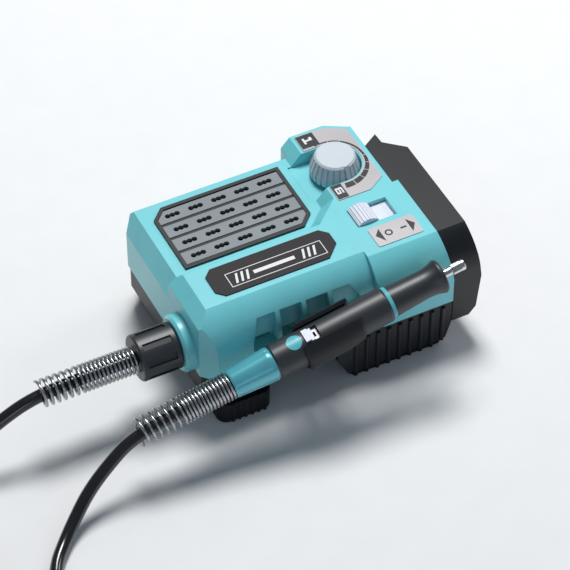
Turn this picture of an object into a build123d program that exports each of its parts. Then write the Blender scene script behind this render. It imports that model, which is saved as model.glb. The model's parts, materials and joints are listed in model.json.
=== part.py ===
"""Bench die grinder: a cordless drive unit, its flexible shaft and a pencil handpiece in a clip.

Everything is laid out from the front-left corner of the drive unit's top deck:
+X runs towards the battery end, +Y towards the back, +Z up, and the deck is at z = 0.
export() then moves it all so that the origin is on the bench, under the middle of the object.
Lengths are in millimetres and angles in degrees.
"""
from build123d import *
import os
from math import atan2, cos, degrees, pi, radians, sin, sqrt, tan

os.makedirs("parts", exist_ok=True)

# ---- Driving dimensions -------------------------------------------------------------------
DECK_HEIGHT = 82.0        # deck above the bench
CENTRE_X, CENTRE_Y = 67.0, 29.5
WALL = 2.6
FIT = 0.05                # radial clearance of a running fit
GAP = 0.3                 # clearance between two bodies that only pass each other

# Drive unit, outside
END_X = -8.0              # end wall that carries the output boss
BULGE_X = 104.0           # where the front wall steps out
SHELL_X = 151.0           # where the upper shell meets the battery mount, at deck level
SHELL_LEAN = 4.5          # how much further out that joint is low down
MOUNT_X = 19.0            # thickness of the battery mount along X
JOG_X, JOG_Y = 147.0, 44.0    # behind JOG_Y the deck is this much shorter
FRONT_Y = -16.0
BULGE_STEP = 5.0
BACK_Y = 107.0
PARTING_Z = -48.0         # joint between the upper and the lower shell
TRAY_Z = -66.0            # underside of the lower shell
BLOCK_Z = -79.0           # underside of its deep battery-end block
CURVE_DROP = 26.0         # height of the front wall's curve

# Top
PLATFORM_Z = -8.0
RAMP = 41.0               # slope of the step between deck and platform
STRIP_Y = 37.5            # foot of that step along the badge strip
POD_X = 101.9             # foot of that step along the control pod
KNOB_X, KNOB_Y = 123.3, 73.9
NOTCH_R = 16.6
NOTCH_FLOOR_Z = -9.0

# Drive line
SHAFT_Y, SHAFT_Z = 13.0, -36.0
BOSS_R, BOSS_X = 18.0, -15.0
NUT_R, NUT_X0, NUT_X1 = 14.6, -40.5, -15.3
SPRING_R, SPRING_WIRE, SPRING_LENGTH = 8.8, 1.8, 62.0
CABLE_D = 8.0
MOTOR_R, MOTOR_X0, MOTOR_X1 = 18.0, 42.0, 98.0

# Handpiece: u runs along its axis from the cable end to the collet
GRIP_TILT = 10.9
GRIP_Y, GRIP_X, GRIP_Z = -34.0, -0.5, -31.8
CONE_L, BODY_L, BARREL_L, NOSE_L, NECK_L, TIP_L = 28.0, 104.0, 127.0, 142.0, 148.0, 156.5
BODY_R, BARREL_R, WAIST_R, LIP_R = 11.0, 9.5, 8.7, 10.3
BORE_R = 5.5

nodes = {}


# ---- Helpers --------------------------------------------------------------------------------
def box(x0, x1, y0, y1, z0, z1):
    """A block given by its limits."""
    return Pos((x0 + x1) / 2, (y0 + y1) / 2, (z0 + z1) / 2) * Box(x1 - x0, y1 - y0, z1 - z0)


def outline(points):
    """A face with the given corners."""
    return make_face(Polyline(*points, close=True))


def along_x(face, x0, x1):
    """A YZ face, drawn as (y, z), run from x0 to x1."""
    return extrude(Plane.YZ.offset(x0) * face, x1 - x0)


def along_y(face, y0, y1):
    """An XZ face, drawn as (x, z), run from y0 to y1."""
    return extrude(Plane.XZ.offset(-y0) * face, -(y1 - y0))


def along_z(face, z0, z1, taper=0):
    """A plan face, run from z0 to z1."""
    return extrude(Pos(0, 0, z0) * face, z1 - z0, taper=taper)


def rod(x0, x1, radius, y=SHAFT_Y, z=SHAFT_Z):
    """A round bar along X on the drive line, or on another line parallel to it."""
    return Pos((x0 + x1) / 2, y, z) * Rot(0, 90, 0) * Cylinder(radius, x1 - x0)


def tube(x0, x1, radius, bore, y=SHAFT_Y, z=SHAFT_Z):
    """A round sleeve along X."""
    return rod(x0, x1, radius, y, z) - rod(x0 - 1, x1 + 1, bore, y, z)


def post(x, y, z0, z1, radius):
    """A round bar along Z."""
    return Pos(x, y, (z0 + z1) / 2) * Cylinder(radius, z1 - z0)


def turned(profile):
    """A solid turned about the local X axis from (x, radius) corners."""
    return revolve(outline([(u, r, 0) for u, r in profile]), Axis.X, 360)


def waste(p, q, inset):
    """A face on the left of the line from p to q, after that line moves right by inset."""
    reach = 80
    length = sqrt((q[0] - p[0]) ** 2 + (q[1] - p[1]) ** 2)
    dx, dy = (q[0] - p[0]) / length, (q[1] - p[1]) / length
    ax, ay = p[0] + dy * inset, p[1] - dx * inset
    corners = [(ax - dx * reach, ay - dy * reach), (ax + dx * reach, ay + dy * reach)]
    corners += [(x - dy * reach, y + dx * reach) for x, y in reversed(corners)]
    return outline(corners)


def add(name, shape):
    """Keep a sub-part under its node name."""
    shape.label = name
    nodes[name] = shape
    return shape


# ---- Upper shell ------------------------------------------------------------------------------
def wall_profile(front_y, back_y, inset, bottom):
    """The shell's section across X: flat deck, curved front wall and straight back wall."""
    width = 16.0
    radius = (width ** 2 + CURVE_DROP ** 2) / (2 * width)
    centre_y = front_y + radius
    r = radius - inset
    top_y = centre_y - sqrt(r ** 2 - (CURVE_DROP - inset) ** 2)
    half = radians((180 - degrees(atan2(CURVE_DROP - inset, centre_y - top_y))) / 2 + 90)
    middle = (centre_y + r * cos(half), -CURVE_DROP + r * sin(half))
    knee = (centre_y - r, -CURVE_DROP)
    curve = ThreePointArc((top_y, -inset), middle, knee)
    back = back_y - inset
    rest = Polyline(knee, (knee[0], bottom), (back, bottom), (back, -inset), (top_y, -inset))
    return make_face(curve + rest)


def plan_outline():
    """The drive unit seen from above, without the battery mount."""
    return outline([
        (END_X, -7), (0.4, FRONT_Y), (BULGE_X - 1, FRONT_Y), (BULGE_X + 4, FRONT_Y - BULGE_STEP),
        (170, FRONT_Y - BULGE_STEP), (170, BACK_Y - 8), (146, BACK_Y - 8), (132, BACK_Y),
        (4, BACK_Y), (END_X, BACK_Y - 12),
    ])


def end_joint(inset):
    """All that is before the leaning joint with the battery mount, which steps back behind the switch."""
    far = SHELL_X + SHELL_LEAN - inset
    spans = [(SHELL_X - inset, -60, JOG_Y - inset), (JOG_X - inset, JOG_Y - inset, 160)]
    fronts = [along_y(outline([(-60, 20), (top, 20), (top, 0), (far, -30), (far, -90), (-60, -90)]), y0, y1)
              for top, y0, y1 in spans]
    return fronts[0] + fronts[1]


def valley(inset):
    """What is missing above the platform: a tray-shaped space with sloping sides."""
    floor = outline([(-40, STRIP_Y), (88.6, STRIP_Y + 1), (POD_X, 50.5), (POD_X, 150), (-40, 150)])
    grown = offset(floor, 0.55 * inset, kind=Kind.INTERSECTION) if inset else floor
    return along_z(grown, PLATFORM_Z - inset, 4, taper=-RAMP)


def knob_notch(inset):
    """The round-ended bay that the speed knob stands in."""
    bay = Pos(KNOB_X, KNOB_Y) * Circle(NOTCH_R + inset)
    bay += Pos(KNOB_X - 12, KNOB_Y) * Rectangle(24, 2 * (NOTCH_R + inset))
    return along_z(bay, NOTCH_FLOOR_Z - inset, 5)


def upper_form(inset, bottom):
    """The upper shell's outside form, with every outside face moved in by inset."""
    low, far = END_X + inset, SHELL_X + SHELL_LEAN
    form = along_x(wall_profile(FRONT_Y, BACK_Y, inset, bottom), low, far)
    form += along_x(wall_profile(FRONT_Y - BULGE_STEP, BACK_Y, inset, bottom), BULGE_X + inset, far)
    plan = offset(plan_outline(), -inset, kind=Kind.INTERSECTION) if inset else plan_outline()
    form &= along_z(plan, -90, 10)
    form &= end_joint(inset)
    form -= along_y(waste((END_X, END_X), (0, 0), inset), -60, STRIP_Y - 3.5)
    form -= valley(inset)
    form -= along_y(waste((END_X, -20), (-1, PLATFORM_Z), inset), STRIP_Y - 3.5 - inset, 160)
    form -= along_x(waste((98.8, PLATFORM_Z), (BACK_Y, -20), inset), -40, BULGE_X - 1 + inset)
    form -= knob_notch(inset)
    return form


# Vent pockets in the front wall
POCKET_RIBS = [40.8, 58.2, 75.6]
POCKET_FLOOR_Y = -9.2
SWITCH_X0, SWITCH_X1, SWITCH_Y0, SWITCH_Y1 = 110.6, 136.8, 18.7, 34.4
GRILLE_X0, GRILLE_X1, GRILLE_Y0, GRILLE_Y1 = 6.3, 93.8, 40.4, 93.3


def pocket_face(grow=0.0):
    """The outline round the four vent pockets, as an XZ face."""
    face = outline([(23.5, -33), (23.5, -24), (27.5, -10.5), (88.5, -10.5), (95.5, -21), (95.5, -33)])
    return offset(face, grow, kind=Kind.INTERSECTION) if grow else face


def grille_face(inset):
    """The grille's outline with two cut corners."""
    x0, x1, y0, y1 = GRILLE_X0 + inset, GRILLE_X1 - inset, GRILLE_Y0 + inset, GRILLE_Y1 - inset
    cut = 8.2 - 0.6 * inset
    return outline([(x0, y0), (x1 - cut, y0), (x1, y0 + cut), (x1, y1), (x0 + cut, y1), (x0, y1 - cut)])


SCREW_POSTS = [(5, 0.5), (4, 84), (142, 41.5), (142, 88)]


SLIT_X = [32.5, 49.5, 67, 84.5]    # middle of the air slit low in each pocket


def upper_housing():
    """The upper shell with its pockets, openings, boss and screw posts."""
    outside = upper_form(0, PARTING_Z)
    shell = outside - upper_form(WALL, PARTING_Z - 20)
    shell += along_y(pocket_face(WALL), -30, POCKET_FLOOR_Y + WALL) & outside
    pockets = along_y(pocket_face(), -30, POCKET_FLOOR_Y)
    for x in POCKET_RIBS:
        pockets -= box(x - 1.5, x + 1.5, -30, POCKET_FLOOR_Y, -60, 0)
    shell -= pockets
    for x in SLIT_X:
        shell -= box(x - 5, x + 5, POCKET_FLOOR_Y - 1, POCKET_FLOOR_Y + 4, -31, -28.8)
    shell -= along_z(grille_face(1.2), PLATFORM_Z - 5, PLATFORM_Z + 5)
    shell -= box(SWITCH_X0, SWITCH_X1, SWITCH_Y0, SWITCH_Y1, -5, 5)
    shell -= post(KNOB_X, KNOB_Y, NOTCH_FLOOR_Z - 5, NOTCH_FLOOR_Z + 1, 4.2)
    boss = rod(BOSS_X, END_X, BOSS_R)
    boss = chamfer(boss.edges().sort_by(Axis.X)[0], 1.6)
    shell += boss + rod(END_X, END_X + WALL, 11)
    shell -= rod(BOSS_X - 1, END_X + WALL + 1, 8.0)
    for x, y in SCREW_POSTS:
        shell += post(x, y, PARTING_Z, 0, 3.6) & outside
        shell -= post(x, y, PARTING_Z - 1, PARTING_Z + 12, 1.5)
    return shell


# ---- Lower shell and feet -----------------------------------------------------------------------
BLOCK_X0, BLOCK_X1 = 80.0, SHELL_X + SHELL_LEAN
BLOCK_FRONT_Y = -20.6
RIB_X = [BLOCK_X0 + 9.5 + 7.4 * k for k in range(9)]


def tray_form(inset):
    """The lower shell's outside: a shallow tray with a deep block at the battery end."""
    plan = offset(plan_outline(), -1.2 - inset, kind=Kind.INTERSECTION)
    form = along_z(plan, TRAY_Z + inset, PARTING_Z)
    low_x, high_x, low_z = BLOCK_X0 + inset, BLOCK_X1 - inset, BLOCK_Z + inset
    side = outline([
        (low_x - 4, PARTING_Z), (low_x - 2, TRAY_Z), (low_x + 5, low_z),
        (high_x - 4, low_z), (high_x, TRAY_Z), (high_x, PARTING_Z),
    ])
    form += along_y(side, BLOCK_FRONT_Y + inset, BACK_Y - 1.2 - inset)
    keep = end_joint(inset)
    corner = outline([(200, BACK_Y - 9 - inset), (146, BACK_Y - 9 - inset), (131, 120), (200, 120)])
    return (form & keep) - along_z(corner, -90, 0)


def lower_housing():
    """The lower shell with ribs on its block and bosses for the long screws."""
    inner = tray_form(WALL)
    shell = tray_form(0) - inner - Pos(0, 0, WALL) * inner
    for x in RIB_X:
        shell += post(x, BLOCK_FRONT_Y, BLOCK_Z, PARTING_Z - 2.5, 1.5)
    for x, y in SCREW_POSTS:
        floor = BLOCK_Z if x > BLOCK_X0 else TRAY_Z
        shell += post(x, y, floor, PARTING_Z, 4.4)
        shell -= post(x, y, floor - 1, PARTING_Z + 1, 1.8)
        shell -= post(x, y, floor - 1, floor + 4, 3.3)
    return shell


def left_foot(y0, y1, ribbed_y):
    """A rubber foot with rounded corners and upright ribs on its outer face."""
    foot = box(-1.5, 33.5, y0, y1, -DECK_HEIGHT, TRAY_Z)
    foot = fillet(foot.edges().filter_by(Axis.Z), 6.5)
    foot = chamfer(foot.faces().sort_by(Axis.Z)[0].edges(), 1.0)
    for k in range(6):
        foot += post(7.0 + 4.2 * k, ribbed_y, -DECK_HEIGHT + 0.4, TRAY_Z, 1.0)
    lug = box(10, 22, (y0 + y1) / 2 - 5, (y0 + y1) / 2 + 5, TRAY_Z - 1, TRAY_Z)
    return foot + lug


def block_pads():
    """Two rubber strips under the deep block; the front one carries the block's ribs on down."""
    strips = []
    for y0 in (BLOCK_FRONT_Y, 82.0):
        strip = box(87, 149, y0, y0 + 16, -DECK_HEIGHT, BLOCK_Z)
        strips.append(fillet(strip.edges().filter_by(Axis.Z), 3))
    for x in RIB_X[:-1]:
        strips[0] += post(x, BLOCK_FRONT_Y, -DECK_HEIGHT + 0.4, BLOCK_Z, 1.5)
    return Compound(strips)


# ---- Battery mount --------------------------------------------------------------------------------
BATTERY_Z = -33.0         # middle height of the battery interface
RAIL_HALF = 26.0          # half the height between the two battery rails
RAIL_Y0, RAIL_Y1 = 4.0, 66.0
RAIL_X = SHELL_X + 13     # the shelf's face, which the rails and contacts stand on
JOINT_X = SHELL_X + SHELL_LEAN
MOUNT_FAR_X = SHELL_X + MOUNT_X
EAR_Y = 86.0              # where the mount's flat top ends
EAR_RUN = (0.53, 0.92, -1.0)    # the way its back corner falls away


def mount_side(top_x, y0, y1):
    """The mount's section across Y, from its joint with the shells to its far face."""
    section = outline([
        (top_x, 5), (top_x, 0), (JOINT_X, -30), (JOINT_X, TRAY_Z), (MOUNT_FAR_X - 3, TRAY_Z),
        (MOUNT_FAR_X + 2, TRAY_Z + 6), (MOUNT_FAR_X + SHELL_LEAN, -34), (MOUNT_FAR_X, 0), (MOUNT_FAR_X, 5),
    ])
    return along_y(section, y0, y1)


def mount_corner():
    """All that is inside the mount's back corner, whose pointed ear ends at deck height."""
    ear = [(157.6, 77.6), (157.3, EAR_Y - 0.3), (JOG_X + 0.3, 79.4)]
    return extrude(outline([(60, -200), (230, -200), (230, 14), *ear, (60, 24.4)]), 110, dir=EAR_RUN)


def battery_mount():
    """The black end piece, with the shelf that the battery slides along."""
    profile = wall_profile(FRONT_Y - BULGE_STEP, 200, 0, TRAY_Z + 0.4)
    end = outline([(-60, 20), (EAR_Y, 20), (EAR_Y, 0), (BACK_Y, -23), (BACK_Y, -58), (99, TRAY_Z),
                   (99, -90), (-60, -90)])
    form = along_x(profile, JOG_X, MOUNT_FAR_X + SHELL_LEAN) & along_x(end, 100, 200)
    form &= mount_side(SHELL_X, -60, JOG_Y) + mount_side(JOG_X, JOG_Y, 160)
    form &= mount_corner()
    notch = outline([
        (SHELL_X - 1, -20), (SHELL_X + 12, -32), (MOUNT_FAR_X, -23), (MOUNT_FAR_X, 0), (SHELL_X - 1, 0),
    ])
    form -= along_y(notch, 101, 120)
    form -= box(RAIL_X, 190, RAIL_Y0, 130, BATTERY_Z - RAIL_HALF - 3, BATTERY_Z + RAIL_HALF + 3)
    form -= box(JOINT_X + 2.5, RAIL_X - 2.5, -10, 96, -62, -12)
    return form - mount_screws()


def battery_rails():
    """Two steel rails that the battery's feet slide under."""
    rails = []
    for side in (-1, 1):
        z = BATTERY_Z + side * RAIL_HALF
        rail = box(RAIL_X, RAIL_X + 5.6, RAIL_Y0 + 1, RAIL_Y1, z - 1.2, z + 1.2)
        lip0, lip1 = sorted((z + side * 1.2, z - side * 4.5))
        rail += box(RAIL_X + 4.0, RAIL_X + 5.6, RAIL_Y0 + 1, RAIL_Y1, lip0, lip1)
        rails.append(rail)
    return Compound(rails)


CONTACT_Z = [BATTERY_Z - 10.5 + 7 * k for k in range(4)]


def terminal_block():
    """The plastic block between the rails that holds the contacts."""
    block = box(RAIL_X, RAIL_X + 5, RAIL_Y0 + 10, RAIL_Y0 + 38, BATTERY_Z - 15, BATTERY_Z + 15)
    for z in CONTACT_Z:
        block -= box(RAIL_X + 1, RAIL_X + 6, RAIL_Y0 + 16, RAIL_Y0 + 39, z - 0.5, z + 0.5)
    return block


def battery_contacts():
    """Four blades that stand in the terminal block's slots."""
    x0, x1 = RAIL_X + 1, RAIL_X + 8.5
    return Compound([box(x0, x1, RAIL_Y0 + 17, RAIL_Y0 + 36, z - 0.4, z + 0.4) for z in CONTACT_Z])


# ---- Vent grille, badge and labels ------------------------------------------------------------------
SLAT_PITCH, SLAT_W = 12.2, 10.0
SLAT_Y0 = 48.55
SLOT_X0, SLOT_PITCH = 18.7, 15.5
HOLE_R, HOLE_PITCH = 1.75, 3.1


def grille_frame():
    """The black frame, with bars between the slats and a ledge under them."""
    frame = along_z(grille_face(0), PLATFORM_Z + 0.02, PLATFORM_Z + 1.4)
    frame += along_z(grille_face(1.35), PLATFORM_Z - 4.5, PLATFORM_Z + 0.5)
    frame -= along_z(grille_face(2.4), PLATFORM_Z - 1.6, PLATFORM_Z + 3)
    frame -= along_z(grille_face(4.2), PLATFORM_Z - 6, PLATFORM_Z + 3)
    for k in range(3):
        y = SLAT_Y0 + SLAT_PITCH * (k + 0.5)
        frame += box(GRILLE_X0 + 2, GRILLE_X1 - 2, y - 0.8, y + 0.8, PLATFORM_Z - 4.5, PLATFORM_Z + 0.5)
    return frame


def slat(k):
    """One perforated slat; its holes overlap in threes."""
    y = SLAT_Y0 + SLAT_PITCH * k
    strip = box(GRILLE_X0, GRILLE_X1, y - SLAT_W / 2, y + SLAT_W / 2, PLATFORM_Z - 1.6, PLATFORM_Z + 0.9)
    strip &= along_z(grille_face(2.5), PLATFORM_Z - 3, PLATFORM_Z + 3)
    holes = [
        post(SLOT_X0 + SLOT_PITCH * i + HOLE_PITCH * j, y, PLATFORM_Z - 4, PLATFORM_Z + 4, HOLE_R)
        for i in range(5) for j in (-1, 0, 1)
    ]
    return strip - holes


def badge_plate():
    """The long plate on the strip, with cut corners."""
    x0, x1, y0, y1, cut = 10.5, 92.5, 3.6, 27.0, 5.0
    face = outline([
        (x0 + cut, y0), (x1 - cut - 4, y0), (x1, y0 + cut + 4), (x1, y1 - cut), (x1 - cut, y1),
        (x0 + cut, y1), (x0, y1 - cut), (x0, y0 + cut),
    ])
    return along_z(face, 0, 0.8)


DIAL_FACE = [(111.0, 104.8), (131.4, 104.8), (144.0, 97.3), (144.0, 51.0), (132.4, 43.9), (110.6, 43.9)]


def dial_label():
    """The metal dial plate round the knob bay."""
    plate = along_z(outline(DIAL_FACE), 0, 0.5)
    return plate - knob_notch(0.9)


def switch_label():
    """The small plate with the two switch marks."""
    return fillet(box(114.0, 144.2, -1.6, 14.4, 0, 0.5).edges().filter_by(Axis.Z), 1.2)


# ---- Controls ------------------------------------------------------------------------------------------
KNOB_R0, KNOB_R1, KNOB_Z0, KNOB_Z1 = 15.5, 11.5, -6.6, 7.5
POINTER_ANGLE = -82.0     # where the pointer rib is at rest, from +X


def speed_knob():
    """A tapered knob with a fluted skirt, a pointer rib and a shaft hole."""
    profile = [(0, KNOB_Z0), (KNOB_R0, KNOB_Z0), (KNOB_R0, KNOB_Z0 + 4.5), (KNOB_R1 + 1.2, KNOB_Z1 - 1.2),
               (KNOB_R1, KNOB_Z1), (0, KNOB_Z1)]
    knob = revolve(outline([(r, 0, z) for r, z in profile]), Axis.Z, 360)
    flutes = []
    lean = degrees(atan2(KNOB_R0 - KNOB_R1 - 1.2, KNOB_Z1 - KNOB_Z0 - 5.7))
    for k in range(24):
        flute = Pos(KNOB_R0 - 1.9, 0, KNOB_Z0 + 8.2) * Rot(0, -lean, 0) * Box(0.9, 1.1, 9.0)
        low = Pos(KNOB_R0, 0, KNOB_Z0 + 2.6) * Box(1.5, 1.1, 5.4)
        flutes.append(Rot(0, 0, 15 * k) * (Pos(0.45, 0, 0) * flute + low))
    knob -= flutes
    rib = along_y(outline([(KNOB_R1 - 2.5, KNOB_Z1 - 3), (KNOB_R1 - 2.5, KNOB_Z1), (KNOB_R1 + 0.7, KNOB_Z1),
                           (KNOB_R0 + 0.3, KNOB_Z0 + 5.2), (KNOB_R0 - 2.5, KNOB_Z0 + 5.2)]), -1.5, 1.5)
    knob += Rot(0, 0, POINTER_ANGLE) * rib
    knob -= Pos(0, 0, KNOB_Z0 + 3.5) * Cylinder(3.0, 7.2)
    return Pos(KNOB_X, KNOB_Y, 0) * knob


def potentiometer():
    """The speed control under the bay, held by its threaded collar."""
    body = post(KNOB_X, KNOB_Y, -22.5, NOTCH_FLOOR_Z - WALL, 8.5)
    body += post(KNOB_X, KNOB_Y, NOTCH_FLOOR_Z - WALL - 1, NOTCH_FLOOR_Z + 0.8, 4.1)
    body += box(KNOB_X - 6, KNOB_X + 6, KNOB_Y + 6, KNOB_Y + 12, -20, -18.5)
    return body - post(KNOB_X, KNOB_Y, -21, 0, 2.0 + FIT)


def potentiometer_shaft():
    """The shaft that the knob is pushed onto."""
    return post(KNOB_X, KNOB_Y, -20.5, KNOB_Z0 + 0.1, 2.0) + post(KNOB_X, KNOB_Y, KNOB_Z0, KNOB_Z0 + 7.0, 3.0)


SWITCH_TRAVEL = 11.0
SLIDER_L = 13.6


def switch_slider():
    """A convex ribbed thumb piece on a thin carriage that runs under the deck."""
    x0, x1 = SWITCH_X0 + 0.5, SWITCH_X0 + 0.5 + SLIDER_L
    y0, y1 = SWITCH_Y0 + GAP, SWITCH_Y1 - GAP
    rise = ThreePointArc((x0, 0.4), ((x0 + x1) / 2, 3.2), (x1, 0.4))
    thumb_face = make_face(rise + Polyline((x1, 0.4), (x1, -3.2), (x0, -3.2), (x0, 0.4)))
    thumb = along_y(thumb_face, y0, y1)
    for k in range(6):
        x = x0 + 2.0 + 1.95 * k
        height = 0.4 + 2.8 * (1 - ((x - (x0 + x1) / 2) / (SLIDER_L / 2)) ** 2)
        thumb += box(x - 0.4, x + 0.4, y0, y1, height - 1.0, height + 0.45)
    carriage = box(x0 - 6.0, SWITCH_X1 + 0.2, y0 - 1.5, y1 + 1.2, -4.4, -3.1)
    peg = box((x0 + x1) / 2 - 2, (x0 + x1) / 2 + 2, (y0 + y1) / 2 - 2, (y0 + y1) / 2 + 2, -9.5, -4.4)
    return thumb + carriage + peg


def switch_body():
    """The slide switch below, open along the travel of the slider's peg."""
    middle = (SWITCH_Y0 + SWITCH_Y1) / 2
    body = box(107, 137, middle - 7, middle + 7, -19, -5.0)
    x = SWITCH_X0 + 0.5 + SLIDER_L / 2
    body -= box(x - 2 - 0.6, x + 2 + SWITCH_TRAVEL + 0.6, middle - 2.4, middle + 2.4, -12, -4)
    for k in range(3):
        body += box(114 + 9 * k, 115 + 9 * k, middle - 2, middle + 2, -23, -19)
    return body


# ---- Motor and drive line ------------------------------------------------------------------------------
def motor_can():
    """The motor's steel can with its two end faces bored for the bearings."""
    can = rod(MOTOR_X0, MOTOR_X1, MOTOR_R) - rod(MOTOR_X0 + 2, MOTOR_X1 - 2, MOTOR_R - 1.6)
    can += tube(MOTOR_X0 - 3, MOTOR_X0 + 2, 6.5, 5.0) + tube(MOTOR_X1 - 2, MOTOR_X1 + 3, 6.5, 5.0)
    can -= rod(MOTOR_X0 - 4, MOTOR_X0 + 3, 5.0)
    can -= rod(MOTOR_X1 - 3, MOTOR_X1 + 4, 5.0)
    for k in range(4):
        angle = radians(45 + 90 * k)
        y, z = SHAFT_Y + 11.5 * cos(angle), SHAFT_Z + 11.5 * sin(angle)
        can -= rod(MOTOR_X1 - 3, MOTOR_X1 + 1, 2.4, y, z)
    return can


MOTOR_SHAFT_R = 2.0


def motor_bearing(x0):
    """A ball bearing drawn as one ring."""
    return tube(x0, x0 + 4, 5.0, MOTOR_SHAFT_R + FIT)


def rotor():
    """The shaft with its wound core and commutator."""
    shaft = rod(22, MOTOR_X1 + 14, MOTOR_SHAFT_R)
    core = rod(MOTOR_X0 + 12, MOTOR_X1 - 16, 12.5)
    for k in range(8):
        angle = radians(45 * k)
        y, z = SHAFT_Y + 12.5 * cos(angle), SHAFT_Z + 12.5 * sin(angle)
        core -= rod(MOTOR_X0 + 11, MOTOR_X1 - 15, 1.4, y, z)
    return shaft + core + rod(MOTOR_X1 - 14, MOTOR_X1 - 6, 5.5)


def magnets():
    """Two field magnets glued inside the can."""
    ring = tube(MOTOR_X0 + 8, MOTOR_X1 - 12, MOTOR_R - 1.6, MOTOR_R - 4.6)
    ring -= box(0, 150, SHAFT_Y - 5, SHAFT_Y + 5, -80, 0)
    return ring


def cooling_fan():
    """A hub, back plate and twelve blades behind the motor."""
    x0 = MOTOR_X1 + 5
    fan = tube(x0, x0 + 8, 5.0, MOTOR_SHAFT_R) + tube(x0 + 6.6, x0 + 8, 15.5, 3.0)
    for k in range(12):
        blade = Pos(x0 + 3.5, SHAFT_Y, SHAFT_Z) * Rot(30 * k, 0, 0) * Pos(0, 9.8, 0) * Box(6.6, 10.6, 1.0)
        fan += blade
    return fan


def motor_bracket(x):
    """A saddle and strap that hold the motor down."""
    ring = tube(x - 3, x + 3, MOTOR_R + 1.4, MOTOR_R)
    legs = box(x - 3, x + 3, SHAFT_Y - 19, SHAFT_Y + 19, TRAY_Z + WALL, SHAFT_Z - 4)
    legs -= rod(x - 4, x + 4, MOTOR_R + 0.5)
    return ring + legs


def drive_coupling():
    """The sleeve that joins the motor shaft to the flexible shaft's square end."""
    sleeve = tube(-4.0, 34.0, 5.5, MOTOR_SHAFT_R)
    sleeve -= box(-5, 12, SHAFT_Y - 2.2, SHAFT_Y + 2.2, SHAFT_Z - 2.2, SHAFT_Z + 2.2)
    return sleeve + tube(12, 22, 7.0, 5.4) - rod(20, 35, MOTOR_SHAFT_R)


def output_bush():
    """The bronze bush and threaded nose in the boss."""
    nose = tube(NUT_X0 + 14, 1.0, 8.0, 5.5 + FIT)
    for k in range(5):
        x = NUT_X0 + 15.5 + 2.0 * k
        nose += tube(x, x + 1.0, 8.6, 7.9)
    return nose


def coupling_nut():
    """The ribbed nut that holds the flexible shaft to the boss."""
    nut = rod(NUT_X0, NUT_X1, NUT_R)
    nut = fillet(nut.edges().sort_by(Axis.X)[0], 1.6)
    nut = chamfer(nut.edges().sort_by(Axis.X)[-1], 0.8)
    for k in range(8):
        turn = Pos(NUT_X0 + 12.5, SHAFT_Y, SHAFT_Z) * Rot(22.5 + 45 * k, 0, 0)
        nut -= turn * Pos(0, NUT_R, 0) * Box(18.5, 2.4, 4.2)
    nut -= rod(NUT_X0 + 12, NUT_X1 + 1, 8.6 + 0.1)
    return nut - rod(NUT_X0 - 1, NUT_X0 + 13, 4.4)


CORE_R = 1.8
FERRULE_X = NUT_X0 + 8


def shaft_ferrule():
    """The crimped end of the flexible shaft's casing, held inside the nut."""
    collar = rod(FERRULE_X, FERRULE_X + 5, 4.1) + rod(NUT_X0 + 12 + GAP, NUT_X0 + 13.8, 7.5)
    return collar - rod(FERRULE_X - 1, NUT_X0 + 15, CORE_R + 0.5)


def drive_core():
    """The flexible shaft's steel core where it leaves its casing, with its square end."""
    square = box(-3.5, 11.5, SHAFT_Y - 2, SHAFT_Y + 2, SHAFT_Z - 2, SHAFT_Z + 2)
    return rod(FERRULE_X + 0.3, -3.0, CORE_R) + square


# ---- Electronics --------------------------------------------------------------------------------------
def control_board():
    """The speed controller's board with its largest parts."""
    board = box(24, 98, 50, 92, -57.6, -56)
    board += post(34, 58, -56, -38, 6.3)
    board += post(34, 74, -56, -38, 6.3)
    board += box(46, 60, 56, 70, -56, -48)
    for k in range(4):
        board += box(50 + 8 * k, 53 + 8 * k, 78, 88, -56, -46)
    return board


def heat_sink():
    """A finned block on the board's power transistors."""
    sink = box(66, 92, 56, 74, -56, -52)
    for k in range(7):
        sink += box(66 + 4 * k, 68 + 4 * k, 56, 74, -52, -38)
    return sink


def board_pillars():
    """Four pillars between the board and the lower shell."""
    return Compound([post(x, y, TRAY_Z + WALL, -57.6, 3) for x in (28, 94) for y in (53, 89)])


# ---- Handpiece -----------------------------------------------------------------------------------------
FERRULE_U, FERRULE_R = 4.0, 5.2
GRIP = Pos(GRIP_X, GRIP_Y, GRIP_Z) * Rot(0, -GRIP_TILT, 0)


def grip_rod(u0, u1, radius):
    """A round bar on the handpiece's axis, in its own frame."""
    return turned([(u0, 0), (u1, 0), (u1, radius), (u0, radius)])


def handpiece_cone():
    """The coloured rear sleeve."""
    return turned([
        (0, FERRULE_R), (0, 8.4), (1.0, 8.8), (CONE_L - 3, 10.6), (CONE_L - 1.2, 10.6), (CONE_L, 10.0),
        (CONE_L, FERRULE_R),
    ])


SLOT_U0, SLOT_U1, SLOT_HALF = 48.8, 59.0, 4.4
LOCK_L = 6.0
LOCK_TURN = 10.0          # how far the lock faces round from straight up, towards the front
DOT_U, DOT_R = 42.9, 4.8


def round_window(u0, u1, half, depth):
    """A block standing on the handpiece's surface, turned to where the lock is."""
    return Rot(LOCK_TURN, 0, 0) * Pos((u0 + u1) / 2, 0, BODY_R) * Box(u1 - u0, 2 * half, 2 * depth)


def dot_column(radius):
    """An upright round column where the coloured dot is."""
    return Rot(LOCK_TURN, 0, 0) * Pos(DOT_U, 0, BODY_R) * Cylinder(radius, 12)


def handle_body():
    """The black handle tube, with the lock's slot and a recess for its dot."""
    profile = [
        (CONE_L, BORE_R), (CONE_L, 10.2), (CONE_L + 1.0, BODY_R), (BODY_L - 1.5, BODY_R),
        (BODY_L, BODY_R - 0.8), (BODY_L, BORE_R),
    ]
    body = turned(profile)
    body -= round_window(SLOT_U0, SLOT_U1, SLOT_HALF, 3.2)
    body -= round_window(SLOT_U0 + 1.2, SLOT_U1 - 0.8, 1.6, 7)
    return body - (dot_column(DOT_R) - grip_rod(30, 55, BODY_R - 0.7))


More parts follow.
